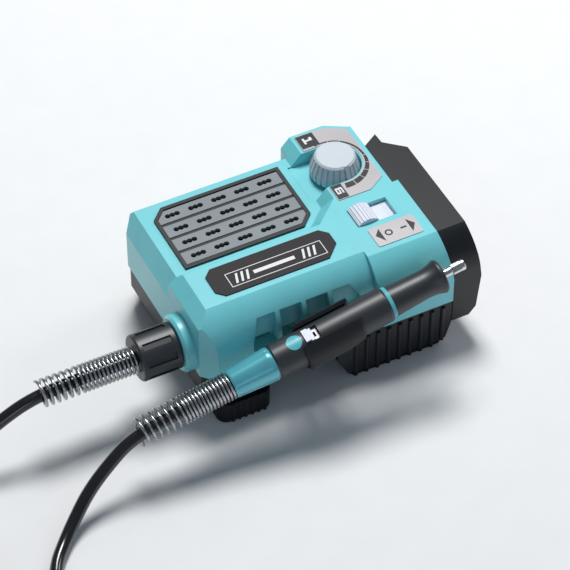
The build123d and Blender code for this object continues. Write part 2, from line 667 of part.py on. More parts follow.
GRIP_U0 = 46.0


def soft_grip():
    """The moulded grip patch on the front and underside of the handle."""
    sleeve = turned([
        (GRIP_U0, BODY_R), (GRIP_U0, BODY_R + 2.2), (GRIP_U0 + 1.2, BODY_R + 3.0),
        (GRIP_U0 + 27, BODY_R + 3.0), (GRIP_U0 + 37, BODY_R + 1.6), (GRIP_U0 + 39, BODY_R),
    ])
    below = Rot(-52, 0, 0) * Pos(70, 0, -20) * Box(60, 60, 40)
    ahead = Rot(-12, 0, 0) * Pos(70, -20, 0) * Box(60, 40, 60)
    return sleeve & below & ahead


RING_END = BODY_L + 2.4


def accent_ring():
    """The thin coloured ring in front of the handle."""
    return turned([(BODY_L, BORE_R), (BODY_L, BODY_R - 0.6), (RING_END, BODY_R - 1.2), (RING_END, BORE_R)])


def front_barrel():
    """The slimmer front tube."""
    return turned([
        (RING_END, BORE_R), (RING_END, BARREL_R + 0.2), (RING_END + 2, BARREL_R), (BARREL_L, WAIST_R),
        (BARREL_L, BORE_R),
    ])


def nose_sleeve():
    """The nose, which flares from its waist to a rounded lip."""
    waist, widest, edge = (BARREL_L + 2, WAIST_R), (NOSE_L - 3.4, LIP_R), (NOSE_L - 0.3, LIP_R - 1.4)
    flare = ThreePointArc(waist, (NOSE_L - 7, WAIST_R + 0.55), widest)
    lip = ThreePointArc(widest, (NOSE_L - 1.3, LIP_R), edge)
    inside = Polyline(
        edge, (NOSE_L - 0.3, 5.0), (NOSE_L - 2.0, 4.0), (NOSE_L - 2.0, 3.4), (NOSE_L - 4.0, 3.4),
        (NOSE_L - 4.0, BORE_R), (BARREL_L, BORE_R), (BARREL_L, WAIST_R), waist,
    )
    return revolve(make_face(flare + lip + inside), Axis.X, 360)


SPINDLE_R = 2.5


def handpiece_ferrule():
    """The crimped end of the casing, pressed into the rear sleeve."""
    far, bore = FERRULE_U + 8, CORE_R + 0.5
    return turned([(FERRULE_U, bore), (FERRULE_U, FERRULE_R), (far, FERRULE_R), (far, bore)])


def spindle_core():
    """The steel core's other end, whose square tip drives the spindle."""
    return grip_rod(FERRULE_U + 0.3, 20, CORE_R - 0.2) + Pos(22, 0, 0) * Box(7.6, 2.3, 2.3)


NECK_R, COLLET_NUT_R = 2.7, 3.5
SHANK_R = 1.6


def spindle():
    """The spindle: a square tail for the flexible shaft, a long journal and the collet's neck."""
    bar = grip_rod(20, NOSE_L + 1.0, SPINDLE_R)
    bar += turned([(NOSE_L + 0.2, 0), (NOSE_L + 0.2, NECK_R), (NECK_L - 0.3, NECK_R), (NECK_L - 0.3, 0)])
    bar += grip_rod(NECK_L - 1, TIP_L - 3.2, 2.4)
    bar += grip_rod(58, 63, 4.0)
    for k in range(6):
        bar -= Rot(LOCK_TURN + 60 * k, 0, 0) * Pos(60.5, 0, 4.2) * Box(6, 1.9, 1.6)
    bar -= Pos(22, 0, 0) * Box(8, 2.6, 2.6)
    return bar - grip_rod(NECK_L - 6, TIP_L + 1, 2.0)


def spindle_bearing(u0):
    """A ball bearing drawn as one ring."""
    bore = SPINDLE_R + FIT
    return turned([(u0, bore), (u0 + 4, bore), (u0 + 4, BORE_R), (u0, BORE_R)])


def collet():
    """The split collet that grips a 3.2 mm shank."""
    sleeve = turned([
        (NECK_L - 5.5, SHANK_R), (NECK_L - 5.5, 2.0), (TIP_L - 2.6, 2.0), (TIP_L - 1.4, 2.3),
        (TIP_L - 0.6, 1.9), (TIP_L - 0.6, SHANK_R),
    ])
    for k in range(2):
        sleeve -= Rot(90 * k, 0, 0) * Pos(TIP_L - 2, 0, 0) * Box(9, 0.35, 6)
    return sleeve


def collet_nut():
    """The collet nut, with six flats and a round mouth."""
    nut = turned([
        (NECK_L, 2.4 + FIT), (NECK_L, COLLET_NUT_R - 0.3), (NECK_L + 0.3, COLLET_NUT_R),
        (TIP_L - 0.5, COLLET_NUT_R), (TIP_L, COLLET_NUT_R - 0.5), (TIP_L, 1.95),
        (TIP_L - 1.0, 2.4 + FIT),
    ])
    flats = RegularPolygon(3.35, 6, major_radius=False)
    hexagon = extrude(Plane.YZ.offset(NECK_L - 1) * flats, TIP_L - NECK_L - 1.5)
    ring = grip_rod(TIP_L - 2.5, TIP_L + 1, COLLET_NUT_R + 1)
    return nut & (hexagon + ring)


def lock_slider():
    """The white slide that locks the spindle, with its stem towards the notched collar."""
    u0 = SLOT_U0 + 0.4
    width = 2 * (SLOT_HALF - GAP)
    thumb = Pos(u0 + LOCK_L / 2, 0, BODY_R - 1.8) * Box(LOCK_L, width, 2.0)
    thumb += Pos(u0 + 1.9, 0, BODY_R - 0.5) * Box(3.6, width, 2.6)
    stem = Pos(u0 + 2.8, 0, BODY_R - 4.4) * Box(2.4, 2.4, 4.4)
    return Rot(LOCK_TURN, 0, 0) * (thumb + stem)


def lock_dot():
    """The coloured dot beside the lock."""
    shell = grip_rod(30, 55, BODY_R + 0.15) - grip_rod(29, 56, BODY_R - 0.7)
    return dot_column(DOT_R) & shell


def cradle_ring(u0, u1, inner, outer, start, end):
    """Part of a ring round the handpiece; angles run from the back (0) up and over the front."""
    sector = [(0, 0)] + [(40 * cos(radians(a)), 40 * sin(radians(a))) for a in range(start, end + 1, 20)]
    wedge = extrude(Plane.YZ.offset(u0) * outline(sector), u1 - u0)
    return turned([(u0, inner), (u1, inner), (u1, outer), (u0, outer)]) & wedge


CLIP_U0, CLIP_U1 = 46.5, 83.0
CLIP_INNER, CLIP_OUTER = BODY_R + 0.6, BODY_R + 2.6


def cradle():
    """The clip on the front wall: a trough open upwards and forwards, with one long lip."""
    ring = cradle_ring(CLIP_U0 + 1.5, CLIP_U1 - 1, CLIP_INNER, CLIP_OUTER, -90, 50)
    lip = Pos((CLIP_U0 + CLIP_U1) / 2, 0, 0) * Rot(48, 0, 0) * Pos(0, CLIP_OUTER - 0.1, 0.9)
    ring += lip * Box(CLIP_U1 - CLIP_U0, 2.6, 1.5)
    foot = box(50, 78, FRONT_Y - 3.2, FRONT_Y - 0.02, -47, -34)
    gusset = outline([(FRONT_Y - 0.02, -45), (FRONT_Y - 0.02, -24), (GRIP_Y - 2, -24), (GRIP_Y - 2, -30)])
    for x in (50, 62.5, 75):
        foot += along_x(gusset, x, x + 3)
    foot -= GRIP * grip_rod(20, 100, CLIP_INNER)
    return GRIP * ring + foot - clip_screws()


def clip_screws():
    """Two screws that hold the clip to the front wall."""
    screws = []
    for x in (57.7, 70.2):
        head = Pos(x, FRONT_Y - 2.4, -42) * Rot(90, 0, 0) * Cylinder(2.8, 1.6)
        screws.append(head + Pos(x, FRONT_Y - 0.9, -42) * Rot(90, 0, 0) * Cylinder(1.4, 1.6))
    return Compound(screws)


# ---- Springs and flexible shaft ----------------------------------------------------------------------
def spring_sleeve():
    """The outer form of a strain-relief spring, run back from its seat at u = 0."""
    return turned([
        (-SPRING_LENGTH, SPRING_R - SPRING_WIRE), (-SPRING_LENGTH, SPRING_R), (0, SPRING_R),
        (0, SPRING_R - SPRING_WIRE),
    ])


CABLE_Z = -DECK_HEIGHT + CABLE_D / 2
COIL_X, COIL_Y, COIL_R = -205.0, -102.0, 44.0
COIL_HALF_W, COIL_H = 8.0, 12.0

# Route points of the flexible shaft from the coupling nut to the coil
OUT_ROUTE = [
    (FERRULE_X - 0.1, SHAFT_Y, SHAFT_Z), (-68, 13.2, -35.8), (-104, 13, -36.6), (-127, 12.6, -45.5),
    (-150, 10, -58), (-174, 3, -70), (-199, -9, -77), (-224, -28, CABLE_Z), (-241, -52, CABLE_Z),
    (-248.5, -76, CABLE_Z),
]


def route_tube(points, diameter):
    """A tube along straight runs, with arcs as large as the runs allow."""
    runs = [(Vector(*b) - Vector(*a)).length for a, b in zip(points, points[1:])]
    radii = []
    for i in range(1, len(points) - 1):
        before = Vector(*points[i]) - Vector(*points[i - 1])
        after = Vector(*points[i + 1]) - Vector(*points[i])
        turn = radians(before.get_angle(after))
        radii.append(0.45 * min(runs[i - 1], runs[i]) / tan(turn / 2))
    path = FilletPolyline(*points, radius=radii)
    start = Plane(origin=points[0], z_dir=Vector(*points[1]) - Vector(*points[0]))
    solid = sweep(start * Circle(diameter / 2), path=path)
    expected = pi * diameter ** 2 / 4 * path.length
    print("route", round(path.length, 1), "mm; radii", [round(r, 1) for r in radii],
          "; volume ratio", round(solid.volume / expected, 4))
    return solid


def grip_point(u):
    """A point on the handpiece's axis, in the layout frame."""
    tilt = radians(GRIP_TILT)
    return (GRIP_X + u * cos(tilt), GRIP_Y, GRIP_Z + u * sin(tilt))


def back_route():
    """Route points from the handpiece to the coil."""
    return [
        grip_point(FERRULE_U - 0.2), (-34, -34.3, -38.4), (-65, -35, -45), (-82, -39.5, -54),
        (-98, -45.5, -63.5), (-111, -54, -72), (-122, -63.5, -77), (-133, -76, CABLE_Z),
        (-141, -96, CABLE_Z), (-147, -118, CABLE_Z), (-159, -136, CABLE_Z), (-176, -145.5, CABLE_Z),
        (-192, -148.5, CABLE_Z),
    ]


def coil_solid():
    """The outer form of the turns that lie put away on the bench."""
    ring = Cylinder(COIL_R + COIL_HALF_W, COIL_H) - Cylinder(COIL_R - COIL_HALF_W, COIL_H + 2)
    return Pos(COIL_X, COIL_Y, -DECK_HEIGHT + COIL_H / 2) * ring


# ---- Screws ---------------------------------------------------------------------------------------------
def housing_screws():
    """The four long screws that close the two shells."""
    screws = []
    for x, y in SCREW_POSTS:
        floor = (BLOCK_Z if x > BLOCK_X0 else TRAY_Z) + 4
        screws.append(post(x, y, floor - 2.4, floor, 3.0) + post(x, y, floor - 1, PARTING_Z + 10, 1.5))
    return Compound(screws)


def mount_screws():
    """Four screws through the battery mount's back plate."""
    spots = [(y, z) for y in (-6, 92) for z in (-56, -24)]
    return Compound([rod(JOINT_X + 0.2, JOINT_X + 2.2, 2.8, y, z) for y, z in spots])


def build():
    """Make every sub-part."""
    add("upper_housing", upper_housing())
    add("lower_housing", lower_housing())
    add("front_left_foot", left_foot(-21.0, 8.0, -20.6))
    add("back_left_foot", left_foot(70.0, 99.0, 98.6))
    add("battery_end_pads", block_pads())
    add("battery_mount", battery_mount())
    add("battery_rails", battery_rails())
    add("terminal_block", terminal_block())
    add("battery_contacts", battery_contacts())
    add("vent_grille_frame", grille_frame())
    for k in range(4):
        add(f"vent_slat_{k + 1}", slat(k))
    add("badge_plate", badge_plate())
    add("dial_label", dial_label())
    add("switch_label", switch_label())
    add("speed_knob", speed_knob())
    add("potentiometer", potentiometer())
    add("potentiometer_shaft", potentiometer_shaft())
    add("switch_slider", switch_slider())
    add("switch_body", switch_body())
    add("motor_can", motor_can())
    add("motor_magnets", magnets())
    add("motor_bearings", Compound([motor_bearing(MOTOR_X0 - 2.5), motor_bearing(MOTOR_X1 - 1.5)]))
    add("motor_rotor", rotor())
    add("cooling_fan", cooling_fan())
    add("motor_brackets", Compound([motor_bracket(MOTOR_X0 + 8), motor_bracket(MOTOR_X1 - 8)]))
    add("drive_coupling", drive_coupling())
    add("output_bush", output_bush())
    add("coupling_nut", coupling_nut())
    add("shaft_ferrule", shaft_ferrule())
    add("drive_core", drive_core())
    add("control_board", control_board())
    add("heat_sink", heat_sink())
    add("board_pillars", board_pillars())
    add("housing_screws", housing_screws())
    add("battery_mount_screws", mount_screws())
    add("clip_cradle", cradle())
    add("clip_screws", clip_screws())
    bearings = Compound([spindle_bearing(CONE_L + 4), spindle_bearing(BARREL_L)])
    for name, shape in {
        "handpiece_cone": handpiece_cone(), "handpiece_ferrule": handpiece_ferrule(),
        "handle_body": handle_body(), "soft_grip": soft_grip(), "accent_ring": accent_ring(),
        "front_barrel": front_barrel(), "nose_sleeve": nose_sleeve(), "spindle": spindle(),
        "spindle_core": spindle_core(), "spindle_bearings": bearings, "collet": collet(),
        "collet_nut": collet_nut(), "lock_slider": lock_slider(), "lock_dot": lock_dot(),
        "handpiece_spring": spring_sleeve(),
    }.items():
        add(name, GRIP * shape)
    add("base_spring", Pos(NUT_X0 - GAP, SHAFT_Y, SHAFT_Z) * spring_sleeve())
    add("flexible_shaft_out", route_tube(OUT_ROUTE, CABLE_D))
    add("flexible_shaft_back", route_tube(back_route(), CABLE_D))
    add("flexible_shaft_coil", coil_solid())


def export():
    """Move everything to the part's own frame and write one file for each node."""
    move = Pos(-CENTRE_X, -CENTRE_Y, DECK_HEIGHT)
    cord = {"flexible_shaft_out", "flexible_shaft_back", "flexible_shaft_coil", "base_spring",
            "handpiece_spring"}
    boxes = []
    for name, shape in nodes.items():
        placed = move * shape
        export_step(placed, f"parts/{name}.step")
        if name not in cord:
            boxes.append(placed.bounding_box())
    low = [round(min(tuple(b.min)[i] for b in boxes), 2) for i in range(3)]
    high = [round(max(tuple(b.max)[i] for b in boxes), 2) for i in range(3)]
    print("object without cords:", low, high)


build()
export()
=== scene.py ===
import json
from math import cos, pi, radians, sin

import bmesh
import bpy
from mathutils import Matrix, Vector


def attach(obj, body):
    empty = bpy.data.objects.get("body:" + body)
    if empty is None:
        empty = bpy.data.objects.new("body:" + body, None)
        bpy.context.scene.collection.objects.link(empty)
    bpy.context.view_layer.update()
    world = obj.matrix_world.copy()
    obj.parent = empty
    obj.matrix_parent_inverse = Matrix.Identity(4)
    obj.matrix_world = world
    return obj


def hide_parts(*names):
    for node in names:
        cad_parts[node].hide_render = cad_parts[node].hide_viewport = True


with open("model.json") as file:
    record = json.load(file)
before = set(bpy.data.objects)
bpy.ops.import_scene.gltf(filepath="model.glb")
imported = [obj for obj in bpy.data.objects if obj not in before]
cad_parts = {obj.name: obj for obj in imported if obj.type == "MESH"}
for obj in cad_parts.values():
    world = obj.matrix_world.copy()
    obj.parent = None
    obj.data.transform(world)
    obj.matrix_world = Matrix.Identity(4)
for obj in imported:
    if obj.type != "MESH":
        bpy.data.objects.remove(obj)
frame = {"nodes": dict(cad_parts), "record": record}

MM = 0.001
# Where the CAD's layout origin, the front-left corner of the deck, lies in the part's own frame
SHIFT = Vector((-67.0, -29.5, 82.0)) * MM
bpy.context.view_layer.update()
NODES = frame["nodes"]


def at(x, y, z):
    """A point given in layout millimetres, in the frame's metres."""
    return Vector((x, y, z)) * MM + SHIFT


# ---- Camera ---------------------------------------------------------------------------------------------
FOCAL_PX, FRAME_PX, SENSOR = 2800.0, 570.0, 36.0
EYE = Vector((-0.52536, -1.03968, 1.27442))
RIGHT = Vector((0.8926, -0.4509, 0.0)).normalized()
BACK = Vector((-0.3098, -0.6133, 0.7266)).normalized()


def make_camera():
    """A camera at the viewing angle, looking along -BACK."""
    data = bpy.data.cameras.new("camera")
    data.sensor_width = SENSOR
    data.lens = FOCAL_PX / FRAME_PX * SENSOR
    data.clip_start, data.clip_end = 0.05, 20
    camera = bpy.data.objects.new("camera", data)
    bpy.context.scene.collection.objects.link(camera)
    up = BACK.cross(RIGHT)
    camera.matrix_world = Matrix.Translation(EYE) @ Matrix((RIGHT, up, BACK)).transposed().to_4x4()
    bpy.context.scene.camera = camera


make_camera()


# ---- Materials ------------------------------------------------------------------------------------------
# Colours are linear; grain is in cycles per metre, and depth and edge are in millimetres
CLOUD_SCALE = 45.0
RAMP_ENDS = (0.3, 0.7)
RELIEF_STRENGTH = 0.35
COAT_ROUGHNESS = 0.12
EDGE_SAMPLES = 4
LEAST_ROUGHNESS = 0.02


def node(tree, kind, **sockets):
    made = tree.nodes.new(kind)
    for name, value in sockets.items():
        made.inputs[name].default_value = value
    return made


def object_space(tree, stretch=(1, 1, 1)):
    """Coordinates that stay with the piece, in metres, with an optional stretch."""
    coords = tree.nodes.new("ShaderNodeTexCoord")
    mapping = node(tree, "ShaderNodeMapping", Scale=stretch)
    tree.links.new(coords.outputs["Object"], mapping.inputs["Vector"])
    return mapping.outputs["Vector"]


def new_material(name):
    material = bpy.data.materials.new(name)
    material.use_nodes = True
    tree = material.node_tree
    return material, tree, tree.nodes["Principled BSDF"]


def blend_colours(tree, factor, dark, light):
    ramp = tree.nodes.new("ShaderNodeValToRGB")
    for stop, position, colour in zip(ramp.color_ramp.elements, RAMP_ENDS, (dark, light)):
        stop.position = position
        stop.color = (*colour, 1)
    tree.links.new(factor, ramp.inputs["Fac"])
    return ramp.outputs["Color"]


def surface(name, base, rough, metal=0.0, coat=0.0, grain=1800.0, depth=0.02, mottle=0.06,
            spread=0.05, stretch=(1, 1, 1), specular=0.5, edge=0.0):
    """A moulded or turned surface: fine grain, slight mottling, uneven gloss and softened edges."""
    material, tree, shader = new_material(name)
    shader.inputs["Metallic"].default_value = metal
    shader.inputs["Coat Weight"].default_value = coat
    shader.inputs["Coat Roughness"].default_value = COAT_ROUGHNESS
    shader.inputs["Specular IOR Level"].default_value = specular
    space = object_space(tree, stretch)
    cloud = node(tree, "ShaderNodeTexNoise", Scale=CLOUD_SCALE, Detail=4.0)
    tree.links.new(space, cloud.inputs["Vector"])
    dark = [channel * (1 - mottle) for channel in base]
    light = [min(1.0, channel * (1 + mottle)) for channel in base]
    tree.links.new(blend_colours(tree, cloud.outputs["Fac"], dark, light), shader.inputs["Base Color"])
    fine = node(tree, "ShaderNodeTexNoise", Scale=grain, Detail=3.0, Roughness=0.6)
    tree.links.new(space, fine.inputs["Vector"])
    gloss = node(tree, "ShaderNodeMapRange")
    gloss.inputs["To Min"].default_value = max(LEAST_ROUGHNESS, rough - spread)
    gloss.inputs["To Max"].default_value = rough + spread
    tree.links.new(fine.outputs["Fac"], gloss.inputs["Value"])
    tree.links.new(gloss.outputs["Result"], shader.inputs["Roughness"])
    relief = node(tree, "ShaderNodeBump", Strength=RELIEF_STRENGTH, Distance=depth * MM)
    tree.links.new(fine.outputs["Fac"], relief.inputs["Height"])
    if edge:
        softened = node(tree, "ShaderNodeBevel", Radius=edge * MM)
        softened.samples = EDGE_SAMPLES
        tree.links.new(softened.outputs["Normal"], relief.inputs["Normal"])
    tree.links.new(relief.outputs["Normal"], shader.inputs["Normal"])
    return material


THREAD_SCALE, CHECK_SCALE, CHECK_SHARE = 420.0, 1250.0, 0.25
THREAD_DARK, THREAD_LIGHT = (0.005, 0.004, 0.005), (0.034, 0.029, 0.031)
WEAVE_ROUGHNESS, WEAVE_SPECULAR = 0.55, 0.25
WEAVE_STRENGTH, WEAVE_DEPTH = 0.3, 0.05


def woven(name):
    """A matt twill weave, seen as fine slanting threads."""
    material, tree, shader = new_material(name)
    shader.inputs["Roughness"].default_value = WEAVE_ROUGHNESS
    shader.inputs["Specular IOR Level"].default_value = WEAVE_SPECULAR
    thread = node(tree, "ShaderNodeTexWave", Scale=THREAD_SCALE, Distortion=0.0)
    thread.bands_direction = "DIAGONAL"
    tree.links.new(object_space(tree, (1, 1, 0)), thread.inputs["Vector"])
    cross = node(tree, "ShaderNodeTexChecker", Scale=CHECK_SCALE)
    tree.links.new(object_space(tree), cross.inputs["Vector"])
    both = tree.nodes.new("ShaderNodeMath")
    both.operation = "MULTIPLY_ADD"
    both.inputs[1].default_value = CHECK_SHARE
    tree.links.new(cross.outputs["Fac"], both.inputs[0])
    tree.links.new(thread.outputs["Fac"], both.inputs[2])
    colours = blend_colours(tree, both.outputs["Value"], THREAD_DARK, THREAD_LIGHT)
    tree.links.new(colours, shader.inputs["Base Color"])
    relief = node(tree, "ShaderNodeBump", Strength=WEAVE_STRENGTH, Distance=WEAVE_DEPTH * MM)
    tree.links.new(both.outputs["Value"], relief.inputs["Height"])
    tree.links.new(relief.outputs["Normal"], shader.inputs["Normal"])
    return material


BRUSHED = (0.04, 1, 1)
MATERIALS = {
    "teal_shell": surface("teal_shell", (0.19, 0.655, 0.71), 0.34, coat=0.15, depth=0.025, mottle=0.03,
                          edge=0.7),
    "teal_metal": surface("teal_metal", (0.12, 0.50, 0.58), 0.24, metal=0.35, coat=0.5, depth=0.01),
    "teal_trim": surface("teal_trim", (0.10, 0.50, 0.56), 0.35, coat=0.1),
    "black_plastic": surface("black_plastic", (0.009, 0.011, 0.014), 0.42, depth=0.05, mottle=0.15,
                             specular=0.4, edge=0.5),
    "foot_rubber": surface("foot_rubber", (0.007, 0.007, 0.009), 0.60, depth=0.06, mottle=0.2, specular=0.3),
    "steel": surface("steel", (0.52, 0.53, 0.55), 0.28, metal=1.0, stretch=BRUSHED),
    "contact_metal": surface("contact_metal", (0.75, 0.60, 0.30), 0.25, metal=1.0, stretch=BRUSHED),
    "grille_black": surface("grille_black", (0.008, 0.009, 0.011), 0.55, depth=0.04, mottle=0.15),
    "slat_grey": surface("slat_grey", (0.22, 0.25, 0.27), 0.45, depth=0.04, mottle=0.06, edge=0.3),
    "badge_carbon": woven("badge_carbon"),
    "label_silver": surface("label_silver", (0.44, 0.42, 0.43), 0.40, metal=0.35, stretch=BRUSHED,
                            depth=0.01),
    "knob_white": surface("knob_white", (0.60, 0.66, 0.71), 0.40, depth=0.03, mottle=0.03, edge=0.35),
    "switch_white": surface("switch_white", (0.74, 0.77, 0.86), 0.38, depth=0.02, mottle=0.03, edge=0.25),
    "magnet": surface("magnet", (0.08, 0.08, 0.08), 0.6, metal=0.5),
    "bush_bronze": surface("bush_bronze", (0.55, 0.36, 0.16), 0.4, metal=1.0),
    "board_green": surface("board_green", (0.02, 0.14, 0.05), 0.4),
    "heat_sink_metal": surface("heat_sink_metal", (0.6, 0.6, 0.62), 0.35, metal=1.0, stretch=BRUSHED),
    "handle_black": surface("handle_black", (0.022, 0.026, 0.031), 0.42, depth=0.03, mottle=0.10,
                            specular=0.7),
    "grip_rubber": surface("grip_rubber", (0.008, 0.009, 0.011), 0.50, depth=0.08, mottle=0.12, specular=0.4),
    "collet_chrome": surface("collet_chrome", (0.72, 0.73, 0.75), 0.20, metal=1.0, depth=0.004, spread=0.03),
    "spring_chrome": surface("spring_chrome", (0.46, 0.47, 0.48), 0.27, metal=1.0, depth=0.006, spread=0.04),
    "cable_black": surface("cable_black", (0.010, 0.010, 0.012), 0.20, coat=0.4, depth=0.01, mottle=0.2),
}
PRINT_BLACK = surface("print_black", (0.008, 0.008, 0.009), 0.45, depth=0.01)
PRINT_WHITE = surface("print_white", (0.78, 0.79, 0.80), 0.40, depth=0.01, mottle=0.03)


def paint(thing, material):
    if not thing.material_slots:
        thing.data.materials.append(material)
    for holder in thing.material_slots:
        holder.material = material


for part in frame["record"]["subparts"]:
    paint(NODES[part["node"]], MATERIALS[part["material_slot"]])


def piece(name, data, material, body="drive_unit"):
    """Put a new mesh or curve in the scene, on a body, with its finish."""
    made = bpy.data.objects.new(name, data)
    bpy.context.scene.collection.objects.link(made)
    paint(made, material)
    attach(made, body)
    return made


# ---- Strain-relief springs ------------------------------------------------------------------------------
SPRING_R, WIRE_D, SPRING_LENGTH = 8.8, 1.8, 62.0
TURN_STEPS, WIRE_SIDES = 36, 12


def spring_mesh(name, seat, along, tight_turns, open_turns, tight_pitch):
    """A round-wire helix from its seat: close turns first, then wider ones."""
    across = along.orthogonal().normalized()
    third = along.cross(across)
    radius = SPRING_R - WIRE_D / 2
    reach = SPRING_LENGTH - WIRE_D
    open_pitch = (reach - tight_turns * tight_pitch) / open_turns
    mesh = bmesh.new()
    rings = []
    for step in range(int((tight_turns + open_turns) * TURN_STEPS) + 1):
        turn = step / TURN_STEPS
        pitch = tight_pitch if turn < tight_turns else open_pitch
        run = turn * tight_pitch if turn < tight_turns else \
            tight_turns * tight_pitch + (turn - tight_turns) * open_pitch
        outward = across * cos(2 * pi * turn) + third * sin(2 * pi * turn)
        sideways = third * cos(2 * pi * turn) - across * sin(2 * pi * turn)
        tangent = (sideways * (2 * pi * radius) + along * pitch).normalized()
        lift = tangent.cross(outward)
        centre = seat + (along * (run + WIRE_D / 2) + outward * radius) * MM
        rings.append([
            mesh.verts.new(centre + (outward * cos(a) + lift * sin(a)) * (WIRE_D / 2 * MM))
            for a in (2 * pi * k / WIRE_SIDES for k in range(WIRE_SIDES))
        ])
    for ring, following in zip(rings, rings[1:]):
        for k in range(WIRE_SIDES):
            after = (k + 1) % WIRE_SIDES
            mesh.faces.new((ring[k], ring[after], following[after], following[k]))
    mesh.faces.new(rings[0])
    mesh.faces.new(list(reversed(rings[-1])))
    bmesh.ops.recalc_face_normals(mesh, faces=mesh.faces)
    for face in mesh.faces:
        face.smooth = len(face.verts) == 4
    data = bpy.data.meshes.new(name)
    mesh.to_mesh(data)
    mesh.free()
    return data


TILT = radians(10.9)
GRIP_START = (-0.5, -34.0, -31.8)
GRIP_AXIS = Vector((cos(TILT), 0, sin(TILT)))
NUT_END = (-40.8, 13.0, -36.0)
CHROME = MATERIALS["spring_chrome"]
base_wire = spring_mesh("strain_spring_base", at(*NUT_END), Vector((-1, 0, 0)),
                        tight_turns=13, open_turns=6.5, tight_pitch=2.6)
base_coils = piece("strain_spring_base", base_wire, CHROME)
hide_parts("base_spring")
grip_wire = spring_mesh("strain_spring_handpiece", at(*GRIP_START), -GRIP_AXIS,
                        tight_turns=14, open_turns=7, tight_pitch=2.25)
grip_coils = piece("strain_spring_handpiece", grip_wire, CHROME)
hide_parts("handpiece_spring")


# ---- Flexible shaft -------------------------------------------------------------------------------------
CABLE_D = 8.0
FLOOR_Z = -82.0 + CABLE_D / 2    # the cable's axis where it lies on the floor
ROUTE_OUT = [
    (-32.6, 13, -36), (-68, 13.2, -35.8), (-104, 13, -36.6), (-127, 12.6, -45.5), (-150, 10, -58),
    (-174, 3, -70), (-199, -9, -77), (-224, -28, FLOOR_Z), (-241, -52, FLOOR_Z), (-248.5, -76, FLOOR_Z),
]
ROUTE_BACK = [
    (-192, -148.5, -70.3), (-176, -145.5, -75), (-159, -136, FLOOR_Z), (-147, -118, FLOOR_Z),
    (-141, -96, FLOOR_Z), (-133, -76, FLOOR_Z), (-122, -63.5, -77), (-111, -54, -72), (-98, -45.5, -63.5),
    (-82, -39.5, -54), (-65, -35, -45), (-34, -34.3, -38.4), (3.2316, -34, -31.0814),
]
COIL_CENTRE, COIL_R, TURN_POINTS = (-205.0, -102.0), 44.9, 16
COIL_FIRST, COIL_LAST = 190.0, 977.5      # degrees round the coil, past two turns
CLIMB_FROM, CLIMB_TO, LAYER = 450.0, 540.0, 8.2


def coil_points():
    """Two turns, the second lying on the first."""
    step = 360.0 / TURN_POINTS
    for k in range(int((COIL_LAST - COIL_FIRST) / step) + 1):
        angle = COIL_FIRST + k * step
        climb = min(1.0, max(0.0, (angle - CLIMB_FROM) / (CLIMB_TO - CLIMB_FROM)))
        yield (COIL_CENTRE[0] + COIL_R * cos(radians(angle)), COIL_CENTRE[1] + COIL_R * sin(radians(angle)),
               FLOOR_Z + LAYER * climb * climb * (3 - 2 * climb))


def cable_curve():
    points = ROUTE_OUT + list(coil_points()) + ROUTE_BACK
    data = bpy.data.curves.new("flexible_shaft", "CURVE")
    data.dimensions = "3D"
    data.bevel_depth = CABLE_D / 2 * MM
    data.bevel_resolution = 6
    data.use_fill_caps = True
    spline = data.splines.new("NURBS")
    spline.points.add(len(points) - 1)
    for control, point in zip(spline.points, points):
        control.co = (*at(*point), 1)
    spline.order_u = 3
    spline.use_endpoint_u = True
    spline.resolution_u = 10
    return data


cable = piece("flexible_shaft", cable_curve(), MATERIALS["cable_black"])
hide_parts("flexible_shaft_out", "flexible_shaft_coil", "flexible_shaft_back")


# ---- Printed marks --------------------------------------------------------------------------------------
PRINT_H = 0.12


def prisms(name, outlines, material):
    """Closed prisms, each between a low and a high outline with the same number of corners."""
    mesh = bmesh.new()
    for low_points, high_points in outlines:
        low = [mesh.verts.new(point) for point in low_points]
        high = [mesh.verts.new(point) for point in high_points]
        mesh.faces.new(list(reversed(low)))
        mesh.faces.new(high)
        for k in range(len(low)):
            after = (k + 1) % len(low)
            mesh.faces.new((low[k], low[after], high[after], high[k]))
    bmesh.ops.recalc_face_normals(mesh, faces=mesh.faces)
    data = bpy.data.meshes.new(name)
    mesh.to_mesh(data)
    mesh.free()
    piece(name, data, material)


def marks(name, shapes, top, material):
    """Thin raised print: each shape is a closed outline in layout millimetres."""
    prisms(name, [([at(x, y, top) for x, y in corners], [at(x, y, top + PRINT_H) for x, y in corners])
                  for corners in shapes], material)


def bar(x0, x1, y0, y1, slant=0.0):
    return [(x0, y0), (x1, y0), (x1 + slant, y1), (x0 + slant, y1)]


def ring_parts(x, y, inner, outer, parts=24):
    """A ring as a row of flat wedges."""
    shapes = []
    for k in range(parts):
        a, b = 2 * pi * k / parts, 2 * pi * (k + 1) / parts
        shapes.append([(x + inner * cos(a), y + inner * sin(a)), (x + outer * cos(a), y + outer * sin(a)),
                       (x + outer * cos(b), y + outer * sin(b)), (x + inner * cos(b), y + inner * sin(b))])
    return shapes


KNOB = (123.3, 73.9)
ARC_INNER = 18.6
ARC_ENDS = [104, 96, 76, 54, -5, -24, -43, -62, -81, -100]
ARC_GAP, ARC_STEP = 0.9, 3.0
ARC_THIN, ARC_MIDDLE, ARC_GROWTH, ARC_POWER = 0.8, 1.4, 3.0, 0.8


def arc_width(angle):
    """The scale's width, from its thin end through the middle, at 0 degrees, to its wide end."""
    if angle > 0:
        return ARC_THIN + (ARC_MIDDLE - ARC_THIN) * (ARC_ENDS[0] - angle) / ARC_ENDS[0]
    return ARC_MIDDLE + ARC_GROWTH * (angle / ARC_ENDS[-1]) ** ARC_POWER


def round_knob(angle, radius):
    """A point on a circle round the knob's axis."""
    return KNOB[0] + radius * cos(radians(angle)), KNOB[1] + radius * sin(radians(angle))


